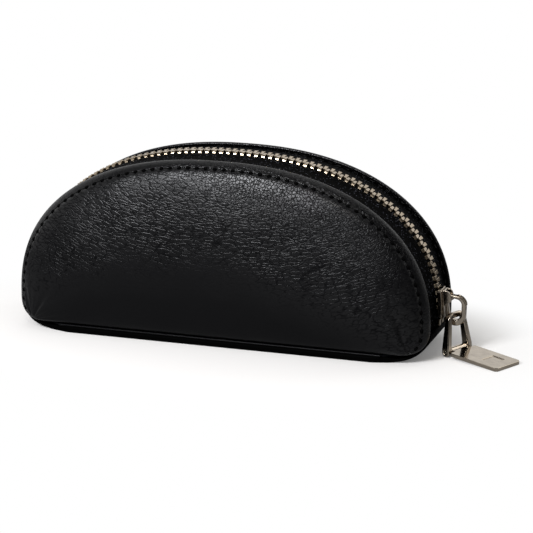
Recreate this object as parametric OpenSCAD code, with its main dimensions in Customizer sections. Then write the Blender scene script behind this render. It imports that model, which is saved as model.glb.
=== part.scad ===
// Half-moon pen case: two padded leather sides on a leather base, closed by a metal zip
// that runs over the arch. X runs along the case, the front side faces -Y, +Z is up, and the
// origin is on the underside of the base, at its middle. Millimetres.

/* [Zip line] */
// Distance between the two feet of the zip, along the case
zip_span = 159.8; // [140:0.2:180]
// Rise of the zip's crown over its feet
zip_rise = 57; // [44:0.5:66]
// Height of the zip's feet over the table
zip_foot = 12.8; // [11.5:0.1:15]
// Fullness of the arch, 2 is an ellipse and more is squarer
arch_fullness = 2.27; // [2:0.01:2.6]
// Length of straight tape below each foot of the zip
tape_tail = 2; // [1.5:0.1:2.4]

/* [Leather] */
// Width of the mouth, between the leather edges on either side of the zip
mouth_width = 30; // [26:0.5:34]
// Width of the base
base_width = 42.4; // [38:0.2:48]
// Depth of the whole case at its fullest
belly_depth = 51.2; // [46:0.2:60]
// Thickness of the leather
leather = 1.3; // [0.9:0.05:1.6]
// How far the leather edge stands out past the zip line
edge_stand = 0.8; // [0.4:0.1:1.2]
// Distance from the leather edge in to the seam line
band_in = 2.3; // [1.6:0.1:3]
// Distance from the leather edge to the seam line, across the case
band_deep = 3.8; // [3:0.1:5]
// Swelling of the band between its two edges
band_swell = 0.35; // [0:0.05:0.5]
// Height of the base's edge, on which the sides stand
base_edge = 2.3; // [2:0.1:3]
// Length of the rounded turn of each side's corners
corner_run = 11.8; // [9:0.1:14]
// Length of the upturned stretch at each end of the base
base_turn = 15.5; // [13:0.1:18]
// Diameter of the piping in the base seam
piping_d = 0.9; // [0.7:0.1:1]

/* [Layers inside] */
// Thickness of the foam behind the leather
foam = 1.8; // [1.2:0.1:2.4]
// Thickness of the lining
lining = 0.6; // [0.4:0.1:0.8]
// Thickness of the stiffening board in the base
board = 0.8; // [0.6:0.05:1]

/* [Zip] */
// Pitch of the teeth of one row
tooth_pitch = 2.75; // [2.5:0.05:3.5]
// Half the width of the closed chain
chain_half = 3; // [2.8:0.05:3.2]
// Height of a tooth, through the tape
tooth_height = 2.3; // [2:0.05:2.5]
// Thickness of a tooth's head, along the chain
head_thick = 1.15; // [0.9:0.05:1.2]
// Width of a tooth's clamped foot, along the chain
foot_thick = 1.6; // [1.4:0.05:1.8]
// Thickness of the tape
tape = 0.6; // [0.4:0.05:0.7]

/* [Slider] */
// Length of the slider
slider_length = 11; // [10:0.1:12]
// Height of the slider's middle over the table, zip closed
slider_height = 18.9; // [18.6:0.1:24]
// Thickness of each of the slider's two wings
wing = 0.7; // [0.6:0.05:0.8]
// Distance from the chain's middle to the bail's bar
bar_stand = 4.5; // [4.4:0.05:4.9]
// Diameter of the bail's bar
bar_d = 1.3; // [1.1:0.05:1.4]

/* [Puller] */
// Thickness of the ring's band round the bail's bar
ring_eye = 1; // [0.8:0.05:1.1]
// Thickness of the ring's band at its sides
ring_band = 1.55; // [1.2:0.05:1.7]
// Thickness of the ring's band at its foot, where the shackle hangs
ring_foot = 2.4; // [1.8:0.1:2.6]
// Width of the ring's band
ring_width = 2.6; // [2.2:0.1:2.8]
// Inner radius of the ring
ring_bore = 2.25; // [2.1:0.05:2.5]
// Height of the bail's bar over the middle of the ring's lower round
ring_drop = 5.4; // [4.8:0.1:6]
// Length of the shackle, from its pin to its top
shackle_length = 14.3; // [13.5:0.1:15.5]
// Width of the shackle over its ears
shackle_width = 13.5; // [12.5:0.1:15]
// Thickness of each ear
ear = 2.3; // [1.6:0.1:2.4]
// Radius of each ear
ear_r = 1.65; // [1.5:0.05:2]
// Diameter of the hinge pin
pin_d = 1.4; // [1.2:0.05:1.6]
// Length of the pull plate, from its pin
plate_length = 24.7; // [18:0.1:30]
// Width of the pull plate
plate_width = 13.9; // [12:0.1:16]
// Thickness of the pull plate
plate_thick = 1.4; // [1.1:0.05:1.8]

/* [Hidden] */
$fn = 48;

leather_black = "#1c1c1e";
lining_grey = "#2b2b2f";
tape_black = "#141416";
nickel = "#cfc9bd";
foam_grey = "#55555a";
board_brown = "#7a6a55";

layer_gap = 0.15;      // between two layers of one side
body_gap = 0.3;        // between the sides and the base
running = 0.1;         // round the bail's bar
pin_play = 0.06;       // round the hinge pin, radially
zip_a = zip_span / 2;
edge_a = zip_a + edge_stand;
edge_b = zip_rise + edge_stand / 4;
seam_a = edge_a - band_in;
seam_b = edge_b - band_in;
edge_y = mouth_width / 2;
seam_y = edge_y + band_deep;
foot_y = base_width / 2;
flat_x = edge_a - corner_run;
base_flat_x = edge_a - base_turn;
sole_end = zip_foot - tape_tail - 0.4;
edge_foot = base_edge + 1;
seam_foot = edge_foot + 0.6;
belly_height = 0.33 * (zip_foot + zip_rise);

// A point of the arch with half axes a and b, at the angle t from its right foot.
function arch(a, b, t) =
    let (n = arch_fullness,
         r = pow(pow(abs(cos(t)) / a, n) + pow(abs(sin(t)) / b, n), -1 / n))
    [r * cos(t), zip_foot + r * sin(t)];

// A closed line round one side: over the arch, round both corners and back along the base.
// Each point is [x, z, share], where share is 0 on the arch and 1 along the base.
arch_steps = 36;
corner_steps = 5;
base_steps = 10;
corner_fullness = 2.5;
function side_corner(a, foot, t) =
    [flat_x + (a - flat_x) * pow(cos(t), 2 / corner_fullness),
     zip_foot - (zip_foot - foot) * pow(sin(t), 2 / corner_fullness),
     pow(sin(t), 1.5)];
function side_loop(a, b, foot) = [
    for (i = [0 : arch_steps]) let (p = arch(a, b, 180 * i / arch_steps)) [p[0], p[1], 0],
    for (i = [1 : corner_steps]) let (p = side_corner(a, foot, 90 * i / corner_steps))
        [-p[0], p[1], p[2]],
    for (i = [1 : base_steps - 1]) [flat_x * (2 * i / base_steps - 1), foot, 1],
    for (i = [corner_steps : -1 : 1]) side_corner(a, foot, 90 * i / corner_steps)
];

// Triangles between successive rings of equal size; the ends are closed by flat caps,
// by a pole each, or by joining the last ring to the first.
function band_faces(rings, size, first = 0) = [
    for (r = [0 : rings - 2], i = [0 : size - 1])
        let (j = (i + 1) % size, a = first + r * size, b = a + size)
        each [[a + i, b + j, b + i], [a + i, a + j, b + j]]
];
module tube(rings) {
    size = len(rings[0]);
    count = len(rings);
    polyhedron(
        points = [for (r = rings) each r],
        faces = concat(
            [[for (i = [size - 1 : -1 : 0]) i]],
            band_faces(count, size),
            [[for (i = [0 : size - 1]) (count - 1) * size + i]]));
}
module hoop(rings) {
    size = len(rings[0]);
    count = len(rings);
    polyhedron(
        points = [for (r = rings) each r],
        faces = concat(
            band_faces(count, size),
            [for (i = [0 : size - 1])
                let (j = (i + 1) % size, a = (count - 1) * size)
                each [[a + i, j, i], [a + i, a + j, j]]]));
}
module pod(first_pole, rings, last_pole) {
    size = len(rings[0]);
    count = len(rings);
    last = count * size + 1;
    polyhedron(
        points = concat([first_pole], [for (r = rings) each r], [last_pole]),
        faces = concat(
            [for (i = [0 : size - 1]) [0, 1 + (i + 1) % size, 1 + i]],
            band_faces(count, size, 1),
            [for (i = [0 : size - 1])
                let (a = 1 + (count - 1) * size) [last, a + i, a + (i + 1) % size]]));
}

// One skin of a swelling side, sunk by deep under the outer face: rings from the seam line in
// to the middle. The swelling rises like a superellipse from the seam to the belly.
skin_steps = 5;
function skin(deep) =
    let (outer = side_loop(seam_a - deep, seam_b - deep, seam_foot + deep),
         belly_y = belly_depth / 2 - deep)
    [for (k = [0 : skin_steps])
        let (v = 0.92 * pow(k / skin_steps, 1.4), rise = pow(1 - pow(1 - v, 1.7), 1 / 1.7))
        [for (p = outer)
            let (rim_y = seam_y - deep + (foot_y - seam_y) * p[2],
                 x = p[0] * (1 - v) + 0.62 * p[0] * v,
                 z = p[1] * (1 - v) + (belly_height + 0.08 * (p[1] - belly_height)) * v)
            [x, -(rim_y + (belly_y - rim_y) * rise), z]]];
function reversed(list) = [for (i = [len(list) - 1 : -1 : 0]) list[i]];
module layer(top, bottom) {
    outer = skin(top);
    inner = skin(bottom);
    pod([0, -(belly_depth / 2 - top), belly_height],
        concat(reversed(outer), inner),
        [0, -(belly_depth / 2 - bottom), belly_height]);
}

foam_top = leather + layer_gap;
foam_bottom = foam_top + foam;
lining_top = foam_bottom + layer_gap;

module front_panel() {
    color(leather_black) layer(0, leather);
}
module front_padding() {
    color(foam_grey) layer(foam_top, foam_bottom);
}
module front_lining() {
    color(lining_grey) layer(lining_top, lining_top + lining);
}

// The binding is a band of leather that turns over the edge of the side, all round it.
module front_binding() {
    gap = 0.12;
    inner_edge = side_loop(edge_a - leather, edge_b - leather, edge_foot + leather);
    outer_edge = side_loop(edge_a, edge_b, edge_foot);
    middle = side_loop((edge_a + seam_a) / 2 + band_swell, (edge_b + seam_b) / 2 + band_swell,
                       (edge_foot + seam_foot) / 2);
    outer_seam = side_loop(seam_a + gap, seam_b + gap, seam_foot - gap);
    inner_seam = side_loop(seam_a + gap - leather, seam_b + gap - leather,
                           seam_foot - gap + leather);
    base_seam_y = foot_y - 0.1;
    color(leather_black) hoop([
        for (i = [0 : len(outer_edge) - 1])
            let (s = outer_edge[i][2],
                 y_edge = edge_y + (base_edge_y - edge_y) * s,
                 y_seam = seam_y - gap + (base_seam_y - gap - seam_y) * s,
                 y_mid = (y_edge + y_seam) / 2 + band_swell)
            [
                [inner_edge[i][0], -y_edge - 0.2, inner_edge[i][1]],
                [outer_edge[i][0], -y_edge, outer_edge[i][1]],
                [middle[i][0], -y_mid, middle[i][1]],
                [outer_seam[i][0], -y_seam, outer_seam[i][1]],
                [inner_seam[i][0], -y_seam + leather, inner_seam[i][1]]
            ]]);
}

// The tape lies flat beside the teeth, dips to the leather edge and tucks in under the binding.
tape_inner_y = chain_half / 2;
tape_flat_y = chain_half + 2.2;
tape_tuck = 1.2;
module front_zip_tape() {
    steps = 72;
    half = tape / 2;
    under = leather + 2 * layer_gap + half;
    tuck_drop = 1;
    function line(a, b) = [
        [a, zip_foot - tape_tail],
        for (i = [0 : steps]) arch(a, b, 180 * i / steps),
        [-a, zip_foot - tape_tail]
    ];
    upper = [
        [tape_inner_y, zip_a, zip_rise], [tape_flat_y, zip_a, zip_rise],
        [edge_y, edge_a - under, edge_b - under],
        [edge_y + tape_tuck, edge_a - under - tuck_drop, edge_b - under - tuck_drop]
    ];
    rows = concat(
        [for (r = upper) [r[0], r[1] + half, r[2] + half]],
        [for (r = reversed(upper)) [r[0], r[1] - half, r[2] - half]]);
    lines = [for (r = rows) line(r[1], r[2])];
    color(tape_black) tube([
        for (i = [0 : len(lines[0]) - 1])
            [for (k = [0 : len(rows) - 1]) [lines[k][i][0], -rows[k][0], lines[k][i][1]]]
    ]);
}

// Places along the zip line, by their distance from the right foot.
line_steps = 240;
line_points = [for (i = [0 : line_steps]) arch(zip_a, zip_rise, 180 * i / line_steps)];
line_table = [
    for (i = 0, s = 0; i <= line_steps;
         s = s + (i < line_steps ? norm(line_points[i + 1] - line_points[i]) : 0), i = i + 1)
        [s, 180 * i / line_steps]
];
line_length = line_table[line_steps][0];
function on_zip_turn(s) =
    let (t = lookup(s, line_table),
         d = arch(zip_a, zip_rise, t - 0.5) - arch(zip_a, zip_rise, t + 0.5))
    -atan2(d[1], d[0]);
module on_zip(s) {
    p = arch(zip_a, zip_rise, lookup(s, line_table));
    translate([p[0], 0, p[1]]) rotate([0, on_zip_turn(s), 0]) children();
}

// One tooth: a foot that grips the tape, a head that reaches past the middle of the chain,
// a nib on one side of the head and a hollow for the next tooth's nib on the other.
tape_grip = 0.05;
head_reach = 0.95;
head_height = tooth_height - 0.5;
module slab(thick, outline) {
    rotate([90, 0, 90]) linear_extrude(thick, center = true) polygon(outline);
}
module tooth() {
    slot = tape / 2 + tape_grip;
    h = tooth_height / 2;
    k = head_height / 2;
    nib_r = 0.42;
    nib_rise = 0.3;
    hollow = 0.2;
    slab(foot_thick, [
        [-chain_half, -h + 0.3], [-chain_half + 0.3, -h], [-1.25, -h], [-1, -k],
        [-1, k], [-1.25, h], [-chain_half + 0.3, h], [-chain_half, h - 0.3],
        [-chain_half, slot], [-tape_inner_y + tape_grip, slot],
        [-tape_inner_y + tape_grip, -slot], [-chain_half, -slot]
    ]);
    difference() {
        slab(head_thick, [
            [-1, -k], [head_reach - 0.3, -k], [head_reach, -k + 0.3],
            [head_reach, k - 0.3], [head_reach - 0.3, k], [-1, k]
        ]);
        translate([-head_thick / 2 + hollow, 0, 0]) rotate([0, -90, 0])
            cylinder(h = 1, r = nib_r + 0.1, $fn = 16);
    }
    translate([head_thick / 2 - 0.1, 0, 0]) rotate([0, 90, 0])
        cylinder(h = nib_rise + 0.1, r = nib_r, $fn = 16);
}
first_tooth = slider_height - zip_foot - 1.2;
last_tooth = line_length - 1.2;
tooth_count = floor((last_tooth - first_tooth) / tooth_pitch);
module front_teeth() {
    color(nickel) for (i = [0 : tooth_count - 1])
        on_zip(first_tooth + i * tooth_pitch) tooth();
}
module rear_teeth() {
    color(nickel) for (i = [0 : tooth_count - 1])
        on_zip(first_tooth + (i + 0.5) * tooth_pitch) mirror([0, 1, 0]) tooth();
}

// Stops are blocks pressed on to the tapes at the zip's two feet.
stop_top = slider_height - slider_length / 2 - 0.2;
stop_low = zip_foot - tape_tail + 0.1;
module stop_block(inner_y, outer_y) {
    h = tooth_height / 2;
    slot = tape / 2 + tape_grip;
    translate([zip_a, 0, stop_low]) linear_extrude(stop_top - stop_low) polygon([
        [-h, -inner_y], [-h, -outer_y], [-slot, -outer_y],
        [-slot, -tape_inner_y + tape_grip], [slot, -tape_inner_y + tape_grip],
        [slot, -outer_y], [h, -outer_y], [h, -inner_y]
    ]);
}
module front_top_stop() {
    color(nickel) stop_block(1, chain_half);
}
module bottom_stop() {
    color(nickel) mirror([1, 0, 0]) union() {
        stop_block(-0.01, chain_half);
        mirror([0, 1, 0]) stop_block(-0.01, chain_half);
    }
}

// The base: a leather sole with a raised edge at front and back and upturned ends, a board
// and a lining. A strip of it is drawn from the side and cut to the outline seen from above,
// whose ends follow the edges of the two sides.
function sole_profile(sunk) = [
    for (i = [0 : 12]) let (t = 90 * i / 12)
        [-base_flat_x - (base_turn - sunk) * cos(t), sole_end - (sole_end - sunk) * sin(t)],
    for (i = [12 : -1 : 0]) let (t = 90 * i / 12)
        [base_flat_x + (base_turn - sunk) * cos(t), sole_end - (sole_end - sunk) * sin(t)]
];
module strip(top, bottom) {
    rotate([90, 0, 0]) linear_extrude(base_width + 2, center = true)
        polygon(concat(sole_profile(bottom), reversed(sole_profile(top))));
}
base_edge_y = foot_y - 2.2;
module sole_plan(inset) {
    corner = [for (i = [0 : 10]) let (p = side_corner(edge_a, edge_foot, 90 * i / 10))
        [p[0] + 0.01, edge_y + (base_edge_y - edge_y) * p[2] - body_gap - inset]];
    quarter = concat(corner, [[base_flat_x - 2, foot_y - inset]]);
    right = concat([for (p = reversed(quarter)) [p[0], -p[1]]], quarter);
    translate([0, 0, -1]) linear_extrude(sole_end + 2)
        polygon(concat(right, [for (p = reversed(right)) [-p[0], p[1]]]));
}
// The same, seen from the end.
module sole_end_view(inset) {
    corner = [for (i = [0 : 10]) let (p = side_corner(edge_a, edge_foot, 90 * i / 10))
        [edge_y + (base_edge_y - edge_y) * p[2] - body_gap - inset, p[1]]];
    quarter = concat(corner, [[foot_y - inset, edge_foot], [foot_y - inset, -1]]);
    rotate([90, 0, 90]) linear_extrude(2 * edge_a + 2, center = true)
        polygon(concat(quarter, [for (p = reversed(quarter)) [-p[0], p[1]]]));
}
module sole(top, bottom, inset) {
    intersection() {
        strip(top, bottom);
        sole_plan(inset);
        sole_end_view(inset);
    }
}
module base_panel() {
    lip = 1.2;
    lip_run = 6;
    lip_end = base_flat_x - 2;
    color(leather_black) union() {
        sole(leather, 0, 0);
        for (side = [-1, 1])
            translate([0, side * (foot_y - lip / 2), 0]) rotate([90, 0, 0])
                linear_extrude(lip, center = true) polygon([
                    [-lip_end, leather / 2], [lip_end, leather / 2],
                    [lip_end - lip_run, base_edge], [lip_run - lip_end, base_edge]
                ]);
    }
}
board_low = leather + 0.05;
module base_board() {
    color(board_brown) translate([2 - base_flat_x, -foot_y + 1.4, board_low])
        cube([2 * base_flat_x - 4, base_width - 2.8, board]);
}
base_lining_low = board_low + board + 0.05;
module base_lining() {
    color(lining_grey) sole(base_lining_low + lining, base_lining_low, 1.6);
}
module piping() {
    translate([2 - base_flat_x, -foot_y + piping_d / 2, base_edge + piping_d / 2 + 0.05])
        rotate([0, 90, 0]) cylinder(h = 2 * base_flat_x - 4, d = piping_d, $fn = 24);
}
module front_piping() {
    color(leather_black) piping();
}
module rear_piping() {
    color(leather_black) mirror([0, 1, 0]) piping();
}

// The slider stands at the right foot when the zip is closed, in line with the chain there.
// Its own axes: X down the chain to its wide end, Z out of the case.
slider_s = slider_height - zip_foot;
slider_t = lookup(slider_s, line_table);
slider_place = arch(zip_a, zip_rise, slider_t);
slider_tilt = on_zip_turn(slider_s) - 90;
channel = tooth_height / 2 + 0.3;
wing_top = channel + wing;
side_wall = 0.75;
module at_slider() {
    on_zip(slider_s) children();
}
function wing_outline(inset) =
    let (n = slider_length / 2, narrow = chain_half + 0.2 + side_wall - inset,
         wide = narrow + 0.95)
    [[-n, -narrow + 0.8], [-n + 0.8, -narrow], [-1.2, -narrow], [2.2, -wide], [n - 1.2, -wide],
     [n, -wide + 1.2], [n, wide - 1.2], [n - 1.2, wide], [2.2, wide], [-1.2, narrow],
     [-n + 0.8, narrow], [-n, narrow - 0.8]];
function channel_outline() =
    let (n = slider_length / 2 + 1, narrow = chain_half + 0.2, wide = narrow + 0.95)
    [[-n, -narrow], [-1.2, -narrow], [2.2, -wide], [n, -wide], [n, wide], [2.2, wide],
     [-1.2, narrow], [-n, narrow]];
module slider_body() {
    slot = tape / 2 + 0.35;
    post_low = slider_length / 2 - 2.8;
    color(nickel) at_slider() union() {
        difference() {
            linear_extrude(2 * wing_top, center = true) polygon(wing_outline(0));
            linear_extrude(2 * channel, center = true) polygon(channel_outline());
            cube([slider_length + 2, 4 * chain_half, 2 * slot], center = true);
        }
        translate([post_low, 0, 0]) linear_extrude(2 * channel + 0.2, center = true)
            polygon([[-0.6, 0], [0.4, -0.95], [2.3, -1.1], [2.3, 1.1], [0.4, 0.95]]);
    }
}

// A flat bar whose two ends are round: two discs and the straight tangents between them.
module tangent_bar(p, r, q, s, thick) {
    d = q - p;
    lean = acos((r - s) / norm(d));
    along = atan2(d[1], d[0]);
    function rim(c, radius, a) = c + radius * [cos(a), sin(a)];
    linear_extrude(thick, center = true) polygon([
        rim(p, r, along + lean), rim(q, s, along + lean),
        rim(q, s, along - lean), rim(p, r, along - lean)
    ]);
    translate([p[0], p[1], 0]) cylinder(h = thick, r = r, center = true);
    translate([q[0], q[1], 0]) cylinder(h = thick, r = s, center = true);
}
// A flat piece round three discs, given as [place, radius].
module tangent_plate(discs, thick) {
    for (i = [0 : 2]) let (p = discs[i], q = discs[(i + 1) % 3])
        tangent_bar(p[0], p[1], q[0], q[1], thick);
    linear_extrude(thick, center = true) polygon([for (d = discs) d[0]]);
}

// The bail stands on the slider's outer wing: two ears with a round crown, a bridge between
// their upper ends and a bar across their lower ends, parallel to Y.
bar_down = -1.5;
bar_eye_r = bar_d / 2 + 0.45;
crown_r = 1.5;
crown_run = 1.9;       // from the bar up to the crown's round, along the chain
eye_r = bar_d / 2 + running;
ear_gap = ring_width / 2 + 0.25;
bail_wall = 0.85;
bar_x = slider_place[0] + bar_stand * cos(slider_tilt) - bar_down * sin(slider_tilt);
bar_z = slider_place[1] - bar_stand * sin(slider_tilt) - bar_down * cos(slider_tilt);
module slider_bail() {
    bridge_from = bar_down - crown_run - crown_r - 0.2;
    bridge_to = bridge_from + 1.3;
    bridge_top = wing_top + 1.1;
    crown_end = bar_down - crown_run;
    crown_stand = wing_top + crown_r;
    color(nickel) at_slider() union() {
        for (side = [-1, 1])
            translate([0, side * (ear_gap + bail_wall / 2), 0]) rotate([90, 0, 0]) union() {
                tangent_bar([crown_end, crown_stand], crown_r,
                            [bar_down, bar_stand], bar_eye_r, bail_wall);
                linear_extrude(bail_wall, center = true) polygon([
                    [bridge_from, wing_top], [1.2, wing_top],
                    [bar_down + bar_eye_r - 0.05, bar_stand], [crown_end, crown_stand],
                    [crown_end - crown_r, crown_stand], [bridge_from, bridge_top]
                ]);
            }
        rotate([90, 0, 0]) linear_extrude(2 * ear_gap + 0.2, center = true) polygon([
            [bridge_from, wing_top], [bridge_to, wing_top], [bridge_to, bridge_top - 0.4],
            [bridge_to - 0.4, bridge_top], [bridge_from + 0.3, bridge_top],
            [bridge_from, bridge_top - 0.3]
        ]);
        translate([bar_down, 0, bar_stand]) rotate([90, 0, 0])
            cylinder(h = 2 * ear_gap + bail_wall, d = bar_d, center = true);
    }
}

// The ring is a rounded loop of flat band with a small round at its upper inner corner, the
// eye that the bar runs in, and two wide rounds. Its own axes: X outwards, Y up, from the bar.
ring_out = ring_bore + 0.05;
ring_low = [ring_out, -ring_drop];
ring_high = [ring_out + 0.1, -1.95];
ring_low_z = bar_z - ring_drop;
ring_foot_x = bar_x + ring_out;
module pull_ring() {
    groove = 0.15;
    rim = ring_bore + ring_band;
    rim_low = [ring_low[0], ring_low[1] + ring_band - ring_foot + 0.1];
    rim_high = [ring_high[0] + 0.3, ring_high[1] - 0.05];
    color(nickel) translate([bar_x, 0, bar_z]) rotate([90, 0, 0]) difference() {
        tangent_plate([[[0, 0], eye_r + ring_eye], [rim_low, rim],
                       [rim_high, rim - 0.3]], ring_width);
        tangent_plate([[[0, 0], eye_r], [ring_low, ring_bore], [ring_high, ring_bore - 0.05]],
                      ring_width + 1);
        translate([rim_high[0], rim_high[1], 0]) difference() {
            cylinder(h = 0.8, r = rim + 1, center = true);
            cylinder(h = 1, r = rim - 0.3 - groove, center = true);
            translate([-10, -20, -1]) cube([20, 20, 2]);
            translate([-20, -10, -1]) cube([20, 20, 2]);
        }
    }
}

// The shackle loops through the ring and carries the pull plate on a pin between its ears.
// Its own axes: X out of its plane, Y along the pin, Z up from the pin.
pin_x = ring_foot_x + 0.9;
pin_y = -0.7;
pin_z = ear_r + 0.2;
puller_turn = -26.8;
shackle_tip = -5;
module at_pin() {
    translate([pin_x, pin_y, pin_z]) rotate([0, 0, puller_turn]) children();
}
// A hoop outline, wide at the foot and round at the top, drawn in the plane of the shackle.
module hoop_outline(foot_half, foot_z, top_half, top_r, top, thick) {
    y = top_half - top_r;
    linear_extrude(thick, center = true) polygon([
        [-foot_half, foot_z - 4], [foot_half, foot_z - 4], [foot_half, foot_z],
        [top_half, top - top_r], [y, top], [-y, top], [-top_half, top - top_r],
        [-foot_half, foot_z]
    ]);
    for (side = [-1, 1]) translate([side * y, top - top_r, 0])
        cylinder(h = thick, r = top_r, center = true);
}
module pull_shackle() {
    half = shackle_width / 2;
    top_band = 1.9;
    leg = 1.9;
    window_half = ring_width / 2 + 1.8;
    window_top = shackle_length - top_band;
    color(nickel) at_pin() rotate([0, shackle_tip, 0]) difference() {
        intersection() {
            rotate([90, 0, 90])
                hoop_outline(half, 1.5, window_half + leg, 3.4, shackle_length, 3 * ear_r);
            rotate([90, 0, 0])
                tangent_bar([0, 0], ear_r, [0, shackle_length - top_band / 2], top_band / 2,
                            shackle_width + 1);
        }
        rotate([90, 0, 90])
            hoop_outline(half - ear, 2.2, window_half, 1.6, window_top, 4 * ear_r);
        rotate([90, 0, 0])
            cylinder(h = shackle_width + 1, d = pin_d + 0.04, center = true);
    }
}
module shackle_pin() {
    color(nickel) at_pin() rotate([90, 0, 0])
        cylinder(h = shackle_width - 0.4, d = pin_d, center = true);
}

// The pull plate: a knuckle round the pin between the ears, a neck, shoulders as wide as the
// shackle and a flat tag with a shallow bare recess. It slopes from the pin to the table.
plate_slope = asin((pin_z - plate_thick / 2 - 0.02) / plate_length);
module pull_plate() {
    half = plate_width / 2;
    neck_half = shackle_width / 2 - ear - 0.2;
    knuckle_r = pin_d / 2 + 0.75;
    shoulder = ear_r + 0.9;
    round = 0.9;
    color(nickel) at_pin() rotate([0, plate_slope, 0]) difference() {
        union() {
            linear_extrude(plate_thick, center = true) polygon([
                [0, -neck_half], [shoulder, -neck_half], [shoulder, -half + 0.5],
                [shoulder + 0.5, -half], [plate_length - round, -half],
                [plate_length, -half + round], [plate_length, half - round],
                [plate_length - round, half], [shoulder + 0.5, half],
                [shoulder, half - 0.5], [shoulder, neck_half], [0, neck_half]
            ]);
            rotate([90, 0, 0]) cylinder(h = 2 * neck_half, r = knuckle_r, center = true);
        }
        rotate([90, 0, 0])
            cylinder(h = shackle_width, r = pin_d / 2 + pin_play, center = true);
        translate([plate_length - 10.2, -3.4, plate_thick / 2 - 0.35]) cube([5.4, 6.8, 1]);
    }
}

module mirrored_rear() {
    mirror([0, 1, 0]) children();
}
module rear_panel() { mirrored_rear() front_panel(); }
module rear_padding() { mirrored_rear() front_padding(); }
module rear_lining() { mirrored_rear() front_lining(); }
module rear_binding() { mirrored_rear() front_binding(); }
module rear_zip_tape() { mirrored_rear() front_zip_tape(); }
module rear_top_stop() { mirrored_rear() front_top_stop(); }

base_panel();
base_board();
base_lining();
front_piping();
rear_piping();
bottom_stop();
front_panel();
front_padding();
front_lining();
front_binding();
front_zip_tape();
front_teeth();
front_top_stop();
rear_panel();
rear_padding();
rear_lining();
rear_binding();
rear_zip_tape();
rear_teeth();
rear_top_stop();
slider_body();
slider_bail();
pull_ring();
pull_shackle();
shackle_pin();
pull_plate();
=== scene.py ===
# %% [markdown]
# # A half-moon pen case in black leather
#
# The case is about 161 mm long and 71 mm high. Two swelling sides of black leather stand on a
# leather base and meet at a metal zip that runs over the arch. A ring, a shackle and a plate
# hang from the zip's slider. The solid model of the case is loaded first and stays as it is:
# it says where each piece is and how it moves. The pieces made here are its finished skins.
#
# Each step has a short text like this one and then a cell of code. All sizes are in
# millimetres until the last moment, when a mesh is written in metres.

# %% Load the solid model
import math

import bmesh
import bpy
import numpy as np
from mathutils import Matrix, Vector


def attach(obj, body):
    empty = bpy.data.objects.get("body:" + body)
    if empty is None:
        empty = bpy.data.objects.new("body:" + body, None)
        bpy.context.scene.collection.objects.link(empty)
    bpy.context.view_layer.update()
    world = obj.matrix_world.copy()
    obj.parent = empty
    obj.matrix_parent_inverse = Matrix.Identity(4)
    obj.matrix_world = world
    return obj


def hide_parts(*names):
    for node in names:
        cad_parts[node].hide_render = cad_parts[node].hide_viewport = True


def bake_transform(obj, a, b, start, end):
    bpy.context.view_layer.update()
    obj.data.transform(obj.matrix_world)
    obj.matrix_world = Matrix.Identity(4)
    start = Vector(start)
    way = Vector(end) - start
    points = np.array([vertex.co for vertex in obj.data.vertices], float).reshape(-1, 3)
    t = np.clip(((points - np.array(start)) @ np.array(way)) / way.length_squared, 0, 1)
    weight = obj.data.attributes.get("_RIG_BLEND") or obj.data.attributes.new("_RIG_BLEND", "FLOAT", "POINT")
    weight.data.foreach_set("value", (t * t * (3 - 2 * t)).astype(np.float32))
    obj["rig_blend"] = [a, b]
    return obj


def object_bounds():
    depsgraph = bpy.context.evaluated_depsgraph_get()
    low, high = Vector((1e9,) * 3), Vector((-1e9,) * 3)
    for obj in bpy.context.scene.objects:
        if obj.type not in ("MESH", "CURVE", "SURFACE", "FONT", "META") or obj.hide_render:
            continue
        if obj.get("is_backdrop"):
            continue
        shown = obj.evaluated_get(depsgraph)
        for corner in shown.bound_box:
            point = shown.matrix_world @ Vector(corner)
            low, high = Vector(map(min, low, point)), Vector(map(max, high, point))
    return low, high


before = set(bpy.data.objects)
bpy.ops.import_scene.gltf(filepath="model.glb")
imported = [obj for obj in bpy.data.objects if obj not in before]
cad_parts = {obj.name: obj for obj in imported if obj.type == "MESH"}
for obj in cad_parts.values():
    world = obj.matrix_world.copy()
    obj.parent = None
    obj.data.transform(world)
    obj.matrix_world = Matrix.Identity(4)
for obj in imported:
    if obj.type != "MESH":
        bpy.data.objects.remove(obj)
solid_box = [list(map(float, corner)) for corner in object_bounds()]

# %% [markdown]
# ## The camera
#
# A long lens from a little to the right of the front and a little above gives a calm view with
# nearly parallel lines. The camera is placed by its angles round the case and by its distance,
# and is then aimed a few millimetres beside the middle, which moves the case in the picture
# without shifting the lens.

# %% Camera
MM = 0.001
DISTANCE, LENS = 940, 168.2
ASIDE, BELOW = 12.19, 4.23
azimuth, elevation = math.radians(18.94), math.radians(15.5)
target = Vector((0, 0, 30))
to_camera = Vector((math.sin(azimuth) * math.cos(elevation),
                    -math.cos(azimuth) * math.cos(elevation), math.sin(elevation)))
rightward = Vector((math.cos(azimuth), math.sin(azimuth), 0))
upward = to_camera.cross(rightward)
aim = target + ASIDE * rightward - BELOW * upward
camera = bpy.data.objects.new("camera", bpy.data.cameras.new("camera"))
bpy.context.scene.collection.objects.link(camera)
place = target + DISTANCE * to_camera
camera.location = place * MM
camera.rotation_euler = (aim - place).to_track_quat("-Z", "Y").to_euler()
camera.data.sensor_width = 36
camera.data.lens = LENS
camera.data.clip_end = 20
bpy.context.scene.camera = camera
bpy.context.scene.view_settings.view_transform = "Standard"
print("camera at", [round(v) for v in place], "mm, lens", LENS, "mm")

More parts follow.
